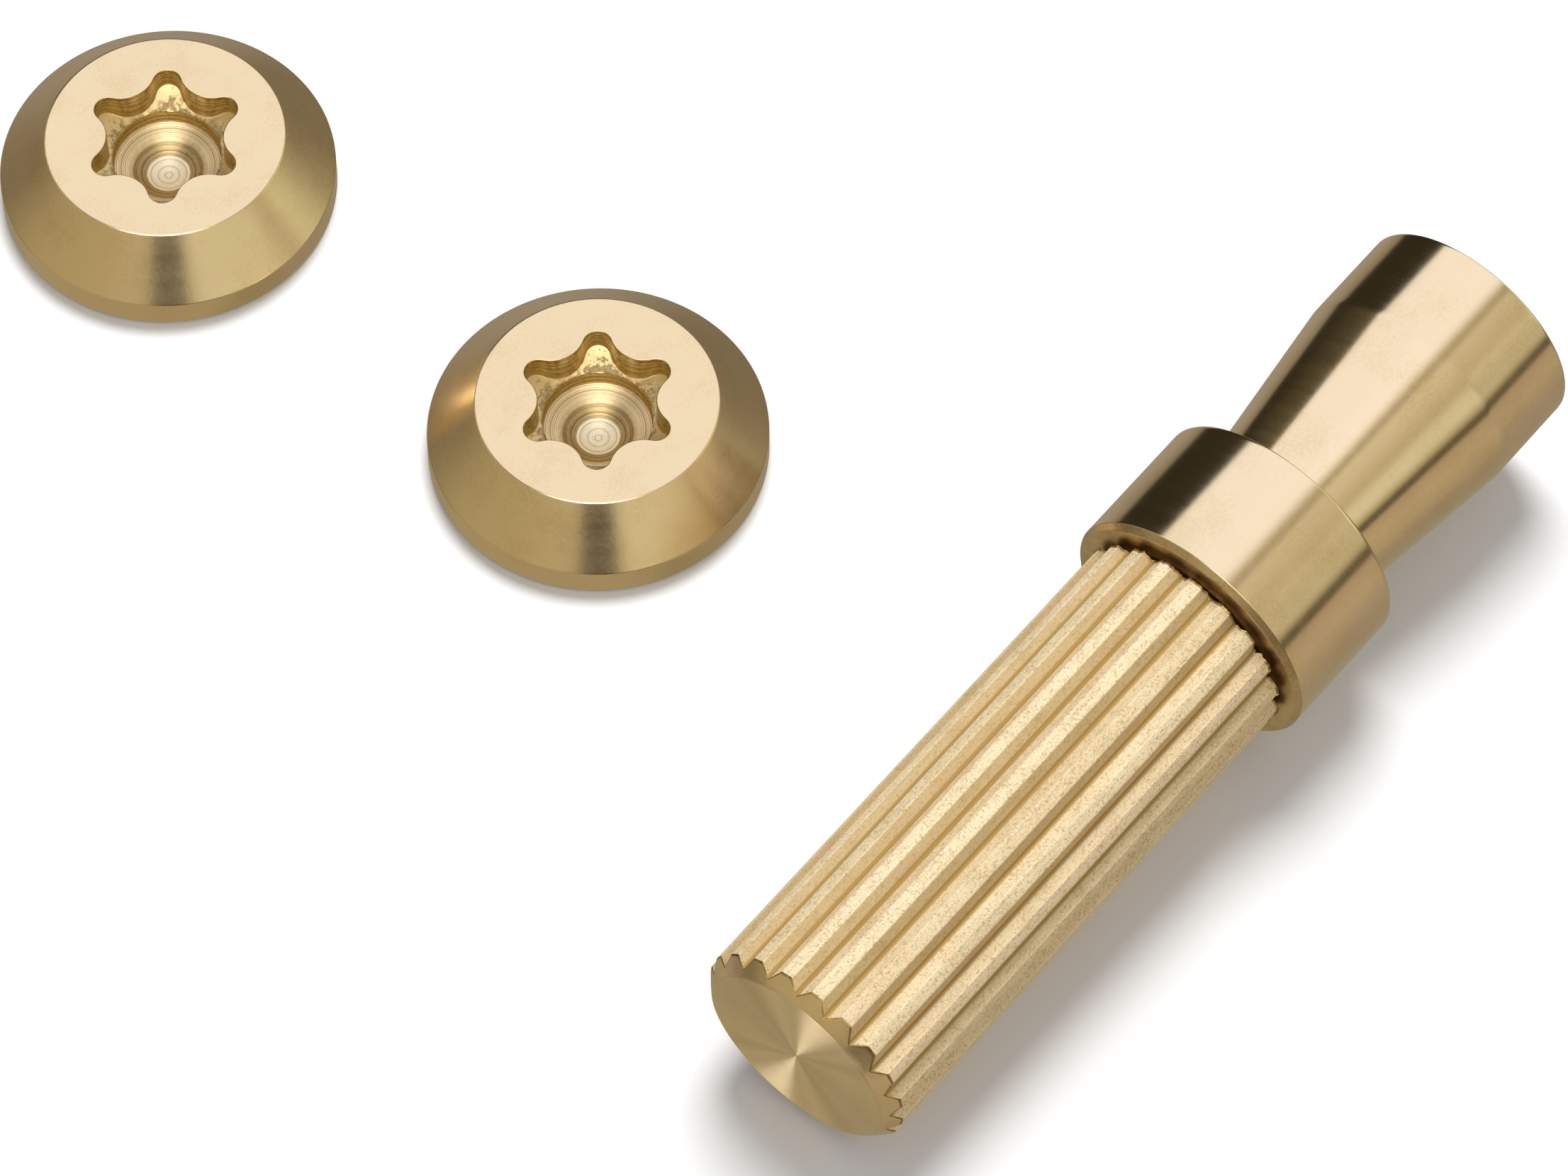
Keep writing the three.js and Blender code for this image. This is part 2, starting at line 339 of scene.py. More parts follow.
def flute_build(g, uv, obj):
    """A fine pitted satin skin with faint lines along the flutes, painted shade at the roots and on one flank of each
    flute, and a painted highlight on the crests.
    """
    lines = g.noise(g.scaled(uv, (26.0, 0.35, 1.0)), 1.0, 3.0, 0.6)
    grain = g.noise(obj, 15000.0, 2.0, 0.6)
    patch = g.noise(obj, 900.0, 3.0, 0.6)
    r = away(g, obj)
    # painted shade darkening down the flutes' sides to the roots, and a painted highlight on the crests
    root = g.smooth(r, GRIP_CREST_R - 0.280, GRIP_CREST_R - 0.215, 0.0, 0.80)
    crest = g.smooth(r, GRIP_CREST_R - 0.05, GRIP_CREST_R - 0.02, 0.0, 0.20)
    tone = g.smooth(g.math("ADD", g.math("MULTIPLY", lines, 0.25),
                           g.math("ADD", g.math("MULTIPLY", grain, 0.5), g.math("MULTIPLY", patch, 0.25))), 0.38, 0.56, 0.56, 1.0)
    dents = g.smooth(g.noise(obj, 8500.0, 2.0, 0.7), 0.55, 0.65, 1.0, 0.48)
    # painted shade: one flank of each flute is darker than the other
    n = g.node("ShaderNodeSeparateXYZ")
    g.put(n.inputs[0], uv)
    place = g.math("FRACT", g.math("MULTIPLY", n.outputs["X"], FLUTES / (2 * math.pi * GRIP_CREST_R)))
    shaded_flank = g.math("MULTIPLY", g.smooth(place, 0.66, 0.72), g.smooth(place, 0.985, 0.965))
    tooth = g.node("ShaderNodeTexWhiteNoise", noise_dimensions="1D")
    g.put(tooth.inputs["W"], g.math("FLOOR", g.math("MULTIPLY", n.outputs["X"], FLUTES / (2 * math.pi * GRIP_CREST_R))))
    painted_shade_and_tone = g.math("SUBTRACT", g.math("ADD", root, crest), g.math("MULTIPLY", shaded_flank, 0.38))
    # the painted shade, times a random tone for each tooth
    painted_shade_and_tone = g.math("MULTIPLY", painted_shade_and_tone, g.math("MULTIPLY_ADD", tooth.outputs["Value"], 0.18, 0.86))
    colour = g.math("MULTIPLY", g.math("MULTIPLY", tone, dents), painted_shade_and_tone)
    return colour, grain, [(grain, 0.004 * MM), (lines, 0.0015 * MM)]


def socket_build(g, uv, obj):
    """The punched walls: fine lines that run round the recess, and a few torn places."""
    v = v_of(g, uv)
    marks = g.noise(None, 15.0, 3.0, 0.6, "1D", v)
    torn = g.noise(obj, 5200.0, 4.0, 0.65)
    colour = g.smooth(g.math("ADD", g.math("MULTIPLY", marks, 0.88), g.math("MULTIPLY", torn, 0.12)), 0.38, 0.60)
    return colour, torn, [(marks, 0.006 * MM), (torn, 0.003 * MM)]


def pilot_build(g, uv, obj):
    """Coarse turning rings at the bottom of the pilot hole."""
    v = v_of(g, uv)
    rings = g.noise(None, 15.0, 1.0, 0.5, "1D", v)
    fine = g.noise(obj, 7000.0, 3.0, 0.6)
    colour = g.smooth(g.math("ADD", g.math("MULTIPLY", rings, 0.8), g.math("MULTIPLY", fine, 0.2)), 0.33, 0.60)
    return colour, fine, [(rings, 0.005 * MM)]


def lobe_build(v_tear, v_hole):
    """The lobes' floors: smooth metal outside, torn and grey beside the pilot hole."""
    def build(g, uv, obj):
        v = v_of(g, uv)
        big = g.noise(obj, 4200.0, 5.0, 0.7)
        small = g.noise(obj, 12000.0, 3.0, 0.6)
        edge = g.math("ADD", v, g.math("MULTIPLY_ADD", big, 0.5, -0.25))
        torn = g.smooth(edge, v_tear, v_tear + 0.10)
        colour = g.math("SUBTRACT", 1.0, g.math("MULTIPLY", torn, g.smooth(small, 0.62, 0.36, 0.55, 0.95)))
        rough = g.math("MULTIPLY_ADD", torn, 0.8, 0.1)
        return colour, rough, [(g.math("MULTIPLY", big, torn), 0.012 * MM), (g.math("MULTIPLY", small, torn), 0.005 * MM)]
    return build


def steel_build(g, uv, obj):
    v = v_of(g, uv)
    lines = g.noise(None, 26.0, 3.0, 0.6, "1D", v)
    grime = g.noise(obj, 2600.0, 4.0, 0.65)
    return g.smooth(grime, 0.35, 0.62), grime, [(lines, 0.002 * MM)]


TURNED = metal("turned_brass", (0.82, 0.635, 0.39), (0.89, 0.71, 0.48), 0.15, 0.21, 0.60, 0.25,
               turned_build(13.0, 0.00035, 420.0))
FACED = metal("faced_brass", (0.92, 0.755, 0.50), (0.97, 0.82, 0.57), 0.44, 0.50, 1.0, 0.25,
              turned_build(10.0, 0.0060, 420.0))
CAP = metal("cap_brass", (0.80, 0.61, 0.36), (0.86, 0.68, 0.43), 0.20, 0.27, 0.30, 0.25,
            turned_build(9.0, 0.00030, 600.0, 0.0013))
# the fluted brass's dark colour is the painted shade in the flute roots and on the shaded flanks
FLUTED = metal("fluted_brass", (0.44, 0.27, 0.075), (0.97, 0.795, 0.515), 0.40, 0.52, 0.0, 0.0, flute_build, 0.25)
# dark burr edges, partly painted shade, and painted shade on the neck between the flutes and the collar
BURR_AND_SHADE = metal("burr_and_painted_shade_brass", (0.26, 0.16, 0.05), (0.52, 0.36, 0.15), 0.40, 0.52, 0.0, 0.0, steel_build)
SOCKET = metal("recess_wall_brass", (0.35, 0.25, 0.07), (0.78, 0.62, 0.31), 0.22, 0.32, 0.0, 0.0, socket_build)
# painted shade: a darker copy of the turned brass for the collar's rear face and its edge
RIM_SHADE = metal("collar_rim_painted_shade_brass", (0.46, 0.34, 0.18), (0.66, 0.50, 0.29), 0.30, 0.38, 0.35, 0.25, turned_build(9.0, 0.00030, 600.0, 0.0004))
PILOT = metal("pilot_floor_brass", (0.54, 0.39, 0.18), (0.93, 0.74, 0.46), 0.38, 0.48, 0.55, 0.25, pilot_build)
# painted shade: a darker copy of the pilot's brass on the cone at the bottom of the hole
CONE_SHADE = metal("pilot_cone_painted_shade_brass", (0.30, 0.21, 0.09), (0.60, 0.44, 0.23), 0.38, 0.46, 0.35, 0.25, pilot_build)
# painted highlight: a lighter copy of the pilot's brass in the centre dimple
CENTRE_HIGHLIGHT = metal("pilot_centre_painted_highlight_brass", (0.72, 0.57, 0.33), (0.99, 0.87, 0.66), 0.40, 0.50, 0.30, 0.25, pilot_build)
STEEL = metal("stud_steel", (0.36, 0.35, 0.33), (0.66, 0.65, 0.62), 0.26, 0.40, 0.5, 0.25, steel_build)


# ------------------------------------------------------------------ the grip
def flute_columns():
    """(angle, radius) round the fluted section, with each crest's edges and each root rounded."""
    pitch = 2 * math.pi / FLUTES
    land = pitch * FLUTE_CREST_SHARE / 2
    crest, root = GRIP_CREST_R - SKIN, GRIP_CREST_R - FLUTE_DEPTH
    edge = Vector((crest * math.cos(land), crest * math.sin(land)))
    valley = Vector((root * math.cos(pitch / 2), root * math.sin(pitch / 2)))

    def radius(x):
        """Radius at angle x from the crest's middle, 0 to half a pitch, on the sharp outline."""
        if x <= land:
            return crest
        d = Vector((math.cos(x), math.sin(x)))
        e = valley - edge
        den = d.x * e.y - d.y * e.x
        return (edge.x * e.y - edge.y * e.x) / den

    out = []
    share = [0.0, 0.08, 0.145, 0.160, 0.168, 0.174, 0.182, 0.200, 0.26, 0.34, 0.42, 0.470, 0.489, 0.5]
    dips = {0.160: 0.001, 0.168: 0.004, 0.174: 0.003, 0.182: 0.001}
    fills = {0.489: 0.002, 0.5: 0.009}
    for i in range(FLUTES):
        mid = math.radians(FLUTE_PHASE) + i * pitch
        half = [(x * pitch, radius(x * pitch) - dips.get(x, 0.0) + fills.get(x, 0.0), x) for x in share]
        for x, r, f in reversed(half[1:-1]):
            out.append((mid - x, r, f))
        for x, r, f in half:
            out.append((mid + x, r, f))
    return out


def build_grip():
    slope = GRIP_CHAMFER / (GRIP_CREST_R - GRIP_END_R)
    columns = []
    stations = None
    for k, (t, rho, f) in enumerate(flute_columns()):
        s_c = (rho - GRIP_END_R) * slope + SKIN
        pts = [(0.0, 0.030), (0.35, 0.026), (0.9, 0.020), (1.6, 0.014), (2.3, 0.009), (3.0, 0.007),
               (3.45, 0.006), (3.56, 0.006), (3.60, 0.008), (3.625, 0.016), (3.645, 0.032)]
        for g in (0.25, 0.5, 0.75, 0.92):
            pts.append((3.645 + (rho - 3.645) * g, 0.032 + (s_c - 0.032) * g))
        pts += [(rho - 0.010, s_c - 0.006), (rho - 0.002, s_c + 0.012), (rho, s_c + 0.04)]
        start = s_c + 0.04
        ragged = max(0.0, 1 - abs(f - 0.17) / 0.06)        # the crests' edges are very slightly ragged
        end = FLUTE_END_S + 0.22 + 0.12 * noise.noise(Vector((k * 0.55, 2.0, 5.0)))      # burrs over the neck
        steps = 46
        for i in range(1, steps + 1):
            s = start + (end - 0.07 - start) * i / (steps - 1) if i < steps else end
            n = noise.noise(Vector((t * 9.0, s * 2.4, 1.5)))
            m = noise.noise(Vector((t * 31.0, s * 5.5, 8.5)))
            lip = (0.030 + 0.045 * m) if i == steps else 0.0                         # the cutter's run-out burr
            pts.append((rho - ragged * (0.002 + 0.005 * abs(m)) - 0.0015 * (0.5 + 0.5 * n) + lip, s))
        pts += [(rho - 0.02, end + 0.015), (RELIEF_R + 0.01, end + 0.03), (RELIEF_R - SKIN, end + 0.05),
                (RELIEF_R - SKIN, GRIP_FACE_S - 0.09), (RELIEF_R - 0.02, GRIP_FACE_S - 0.03),
                (RELIEF_R - 0.05, GRIP_FACE_S - SKIN), (RELIEF_R - 0.12, GRIP_FACE_S - SKIN),
                (2.9, GRIP_FACE_S - SKIN), (2.22, GRIP_FACE_S - SKIN), (2.15, GRIP_FACE_S - 0.012),
                (STUD_BORE_R + 0.01, GRIP_FACE_S - 0.09), (STUD_BORE_R + 0.01, GRIP_FACE_S - 0.2),
                (STUD_BORE_R + 0.01, 15.0), (STUD_BORE_R + 0.01, GRIP_BORE_S), (0.0, GRIP_BORE_S - 0.8)]
        columns.append([tool_point(r, s, t) for r, s in pts])
        if stations is None:
            stations = [0.0]
            for (r0, s0), (r1, s1) in zip(pts, pts[1:]):
                stations.append(stations[-1] + math.hypot(r1 - r0, s1 - s0))
    first, last = 17, 17 + 46
    # end face, chamfer, a dark burr line partly painted shade, the flutes, then the burr lips and the neck in painted
    # shade, then the turned groove and bore
    return sweep("grip_skin", columns, stations, 2 * math.pi * GRIP_CREST_R, [FLUTED, TURNED, FACED, CAP, BURR_AND_SHADE],
                 lambda i: 2 if i < 10 else 3 if i < first - 3 else 4 if i < first else 0 if i < last - 1 else 4 if i < last + 5 else 1, True, True)


# ---------------------------------------------------------- collar and head
def build_collar():
    r, a, b = COLLAR_R - SKIN, COLLAR_START_S + SKIN, COLLAR_END_S - SKIN
    ring = [(COLLAR_BORE_R + 0.01, (a + b) / 2 + 1.2, 0), (COLLAR_BORE_R + 0.01, b, 0.06), (r, b, 0.15),
            (r, (a + b) / 2, 0), (r, a + COLLAR_REAR_EDGE, 0.03), (r - COLLAR_REAR_EDGE, a, 0.03),
            (COLLAR_WEB_BORE_R + 0.01, a, 0.08), (COLLAR_WEB_BORE_R + 0.01, COLLAR_WEB_S - SKIN, 0.04),
            (COLLAR_BORE_R + 0.01, COLLAR_WEB_S - SKIN, 0.05), (COLLAR_BORE_R + 0.01, (a + b) / 2 + 1.1, 0)]
    # the rear face and its edge take the painted-shade brass
    return lathe("collar_skin", rounded(ring), tool_point, [TURNED, RIM_SHADE],
                 lambda q, s: 1 if s < a + COLLAR_REAR_EDGE + 0.01 else 0, closed=True)


def build_head():
    end = HEAD_END_S - SKIN
    bore = STUD_BORE_R + 0.01
    r = HEAD_R - SKIN
    pts = [(0, HEAD_BORE_END_S + 0.8, 0), (bore, HEAD_BORE_END_S, 0.02), (bore, 26.0, 0),
           (bore, HEAD_START_S + SKIN, 0.10), (HEAD_SPIGOT_R - 0.2, HEAD_START_S + SKIN, 0.04),
           (HEAD_SPIGOT_R - SKIN, HEAD_START_S + 0.2, 0.04), (HEAD_SPIGOT_R - SKIN, COLLAR_END_S, 0.25),
           (r, HEAD_CONE_END_S, 0.10), (r, end, 0.09), (HEAD_CUP_R, end, 0.06)]
    for k in range(1, 13):
        q = HEAD_CUP_R * (1 - k / 12)
        pts.append((q, end - HEAD_CUP_DEPTH * (1 - (q / HEAD_CUP_R) ** 2), 0))
    return lathe("head_skin", rounded(pts), tool_point, [TURNED])


# ------------------------------------------------------------------ the stud
def build_stud():
    """A real right-hand helical thread: each column's stations are one turn apart from the last column's."""
    n = 72
    p = THREAD_PITCH
    shape = [(0.0, THREAD_ROOT_R), (0.125, THREAD_ROOT_R), (0.40, THREAD_R - 0.01), (0.435, THREAD_R),
             (0.565, THREAD_R), (0.60, THREAD_R - 0.01), (0.875, THREAD_ROOT_R)]
    turns = int((STUD_END_S - STUD_START_S) / p) + 3
    k = len(shape)
    cols = []
    for j in range(n):
        t = 2 * math.pi * j / n
        col = []
        for i in range(-1, turns):
            for f, r in shape:
                s = STUD_START_S + p * (i + f + j / n - 1)
                c = min(max(s, STUD_START_S + SKIN), STUD_END_S - SKIN)
                lead = min(c - STUD_START_S, STUD_END_S - c)
                col.append(tool_point(min(r, 1.50 + lead) if c == s else 1.50, c, -t))
        cols.append(col)
    m = len(cols[0])
    verts = [q for c in cols for q in c]
    faces, uvs, idx = [], [], []
    width = 2 * math.pi * 2.0
    for j in range(n):
        shift = k if j == n - 1 else 0
        j2 = (j + 1) % n
        for i in range(m - 1):
            if i + 1 + shift >= m:
                continue
            a, b, c, d = j * m + i, j2 * m + i + shift, j2 * m + i + 1 + shift, j * m + i + 1
            if (verts[a] - verts[d]).length < 1e-9 and (verts[b] - verts[c]).length < 1e-9:
                continue
            u0, u1, v0, v1 = width * j / n, width * (j + 1) / n, i * 0.12, (i + 1) * 0.12
            faces.append((a, b, c, d)); uvs.append(((u0, v0), (u1, v0), (u1, v1), (u0, v1))); idx.append(0)
    for at, first in ((STUD_START_S + SKIN, True), (STUD_END_S - SKIN, False)):
        c = len(verts)
        verts.append(tool_point(0, at, 0))
        for j in range(n):
            a = j * m + (0 if first else m - 1)
            b = ((j + 1) % n) * m + (0 if first else m - 1)
            faces.append((a, b, c)); uvs.append(((0, 0), (0.2, 0), (0.1, 1.5))); idx.append(0)
    return finish_mesh("stud_thread", verts, faces, uvs, [STEEL], idx, 30.0)


# ------------------------------------------------------------------ the caps
def lobe_edge(t):
    """The six-lobe outline's point and outward normal at angle t from a lobe's middle line."""
    tip, k = LOBE_POINT_R - LOBE_TIP_R, LOBE_WAIST_R - LOBE_TIP_R
    c = math.cos(math.pi / 6)
    far = (tip * tip - k * k) / (2 * (tip * c - k))
    inward = far - LOBE_WAIST_R
    join = math.atan2(far * 0.5, far * c - tip)
    switch = math.atan2(LOBE_TIP_R * math.sin(join), tip + LOBE_TIP_R * math.cos(join))
    sector = round(t / (math.pi / 3))
    x = t - sector * math.pi / 3
    if abs(x) <= switch:
        r = tip * math.cos(x) + math.sqrt(LOBE_TIP_R ** 2 - (tip * math.sin(x)) ** 2)
        p = Vector((r * math.cos(x), r * math.sin(x)))
        n = (p - Vector((tip, 0))).normalized()
    else:
        sign = 1 if x > 0 else -1
        phi = math.pi / 6 - abs(x)
        r = far * math.cos(phi) - math.sqrt(inward ** 2 - (far * math.sin(phi)) ** 2)
        p = Vector((r * math.cos(x), r * math.sin(x)))
        n = (Vector((far * c, sign * far * 0.5)) - p).normalized()
    turn = Matrix.Rotation(sector * math.pi / 3, 2)
    return turn @ p, turn @ n


MADE = {}


def build_cap(name, node):
    centre = centre_of(node)
    turn = math.radians(LOBE_ANGLE)
    r6 = CAP_R - SKIN
    top = CAP_H - SKIN
    outer = rounded([(0, SKIN, 0), (2.6, SKIN, 0), (r6 - CAP_FOOT_EDGE, SKIN, 0.02), (r6, CAP_FOOT_EDGE, 0.02),
                     (r6, CAP_RIM_H, 0.035), (CAP_FLAT_R - 0.004, top, 0.05), (3.6, top, 0)])
    fall = (LOBE_INNER_DEPTH - LOBE_TIP_DEPTH) / (LOBE_POINT_R - PILOT_R)
    e = 0.045
    steps = [-30 + 1.5 * i for i in range(40)]
    angles = [math.radians(60 * s + x) for s in range(6) for x in steps]
    columns, stations, kinds = [], None, None
    for t in angles:
        d = Vector((math.cos(t), math.sin(t)))
        p, n = lobe_edge(t)
        pts = [(d * q.x, q.y, 0) for q in outer]
        pts.append(((d * 3.6 + (p + n * (e * 2.4))) / 2, top, 0))
        pts.append((p + n * (e * 2.4), top, 0))
        for i in range(5):
            f = math.pi / 2 * i / 4
            pts.append((p + n * (e * (1 - math.sin(f))), top - e * (1 - math.cos(f)), 0 if i < 2 else 1))
        deep = LOBE_INNER_DEPTH - (p.length - PILOT_R) * fall
        rough = noise.noise(Vector((d.x * 3.1, d.y * 3.1, 4.0)))
        for f in (0.2, 0.5, 0.8, 0.94):
            pts.append((p - n * (0.012 * f), top - e - (deep - e) * f, 1))
        pts.append((p - n * 0.030, top - deep - 0.004, 2))
        # the lobe's torn floor, falling to the pilot hole
        for f in (0.12, 0.3, 0.5, 0.7, 0.86, 0.95):
            q = p.lerp(d * PILOT_R, f)
            b = noise.noise(Vector((q.x * 5.5, q.y * 5.5, 1.0))) + 0.5 * noise.noise(Vector((q.x * 13, q.y * 13, 3.0)))
            wide = min(1.0, (p.length - PILOT_R) / 0.4)
            near = max(0.0, min(1.0, (2.45 - q.length) / 0.3))
            pts.append((q, top - (LOBE_INNER_DEPTH - (q.length - PILOT_R) * fall) + 0.028 * b * wide * near, 2))
        chip = 0.030 * noise.noise(Vector((d.x * 9, d.y * 9, 7.0)))
        pts.append((d * (PILOT_R + 0.004), top - LOBE_INNER_DEPTH - 0.03 + chip, 1))
        pts.append((d * PILOT_R, top - LOBE_INNER_DEPTH - 0.09, 1))
        for z in (0.20, 0.36):                     # two turned lines round the wall
            pts.append((d * PILOT_R, top - LOBE_INNER_DEPTH - z + 0.03, 1))
            pts.append((d * (PILOT_R - 0.018), top - LOBE_INNER_DEPTH - z, 1))
            pts.append((d * PILOT_R, top - LOBE_INNER_DEPTH - z - 0.03, 1))
        pts.append((d * PILOT_R, top - PILOT_DEPTH + 0.07, 1))
        pts.append((d * (PILOT_R - 0.03), top - PILOT_DEPTH + 0.01, 3))
        # turned steps in the pilot's floor
        for i in range(1, 9):
            f = i / 9
            q = PILOT_R - 0.03 + (CENTRE_R - PILOT_R + 0.03) * f
            pts.append((d * q, top - PILOT_DEPTH - (PILOT_CONE_DEPTH - PILOT_DEPTH) * f + (0.010 if i % 2 else -0.004), 3))
        pts += [(d * (CENTRE_R + 0.02), top - PILOT_CONE_DEPTH + 0.004, 3), (d * CENTRE_R, top - PILOT_CONE_DEPTH - 0.012, 3)]
        # the cone, in painted shade
        for f in (0.35, 0.7, 0.95):
            pts.append((d * (CENTRE_R + (CENTRE_TIP_R - CENTRE_R) * f),
                        top - PILOT_CONE_DEPTH - (CENTRE_STEP_DEPTH - PILOT_CONE_DEPTH) * f, 4))
        # the centre dimple, with a painted highlight
        for i in range(0, 8):
            f = i / 8
            pts.append((d * (CENTRE_TIP_R * 0.97 * (1 - f)),
                        top - CENTRE_STEP_DEPTH - (CENTRE_DEPTH - CENTRE_STEP_DEPTH) * f * (2 - f) + (0.006 if i % 2 else 0.0), 5))
        pts.append((Vector((0, 0)), top - CENTRE_DEPTH, 5))
        col = []
        for q, z, _ in pts:
            x = q.x * math.cos(turn) - q.y * math.sin(turn)
            y = q.x * math.sin(turn) + q.y * math.cos(turn)
            col.append(Vector((centre.x + x, centre.y + y, z)) * MM)
        columns.append(col)
        if stations is None:
            stations, kinds = [0.0], [k for _, _, k in pts]
            for (q0, z0, _), (q1, z1, _) in zip(pts, pts[1:]):
                stations.append(stations[-1] + math.hypot((q1 - q0).length, z1 - z0))
    if "LOBE" not in MADE:
        floor_at = [i for i, k in enumerate(kinds) if k == 2]
        v0, v1 = stations[floor_at[0]], stations[floor_at[-1]]
        MADE["LOBE"] = metal("recess_floor_brass", (0.33, 0.25, 0.14), (0.80, 0.60, 0.31), 0.44, 0.60, 0.0, 0.0,
                             lobe_build(v0 + (v1 - v0) * 0.38, v1))
    # segments touching the cone take the painted-shade brass, and the centre dimple the painted-highlight brass
    return sweep(name, columns, stations, 2 * math.pi * CAP_R, [CAP, SOCKET, MADE["LOBE"], PILOT, CONE_SHADE, CENTRE_HIGHLIGHT],
                 lambda i: (4 if 4 in kinds[i:i + 2] else max(kinds[i], kinds[i + 1])) if kinds[i + 1] != 1 or kinds[i] == 0 else 1,
                 True, True)


# --------------------------------------------------------------------- build
for piece, body, node, slot in (
        (build_grip(), "grip", "fluted_grip", "fluted_brass"),
        (build_stud(), "grip", "tie_stud", "stud_steel"),
        (build_collar(), "collar", "collar", "turned_brass"),
        (build_head(), "head", "flared_head", "turned_brass"),
        (build_cap("cap_1_skin", "cap_1"), "cap_1", "cap_1", "cap_brass"),
        (build_cap("cap_2_skin", "cap_2"), "cap_2", "cap_2", "cap_brass")):
    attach(piece, body)
    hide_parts(node)

# --------------------------------------------------------------------- stage
def build_floor():
    me = bpy.data.meshes.new("floor")
    h = 2.5
    me.from_pydata([(-h, -h, 0), (h, -h, 0), (h, h, 0), (-h, h, 0)], [], [(0, 1, 2, 3)])
    o = bpy.data.objects.new("floor", me)
    bpy.context.scene.collection.objects.link(o)
    m = bpy.data.materials.new("floor_paper")
    m.use_nodes = True
    g = Nodes(m.node_tree)
    shader = g.node("ShaderNodeBsdfDiffuse")
    out = g.node("ShaderNodeOutputMaterial")
    g.put(out.inputs["Surface"], shader.outputs[0])
    obj = g.node("ShaderNodeTexCoord").outputs["Object"]
    g.put(shader.inputs["Color"], g.mix(g.noise(obj, 900.0, 2.0), (0.915, 0.915, 0.915), (0.93, 0.93, 0.93)))
    me.materials.append(m)
    o.visible_glossy = False
    o.visible_diffuse = False
    return o


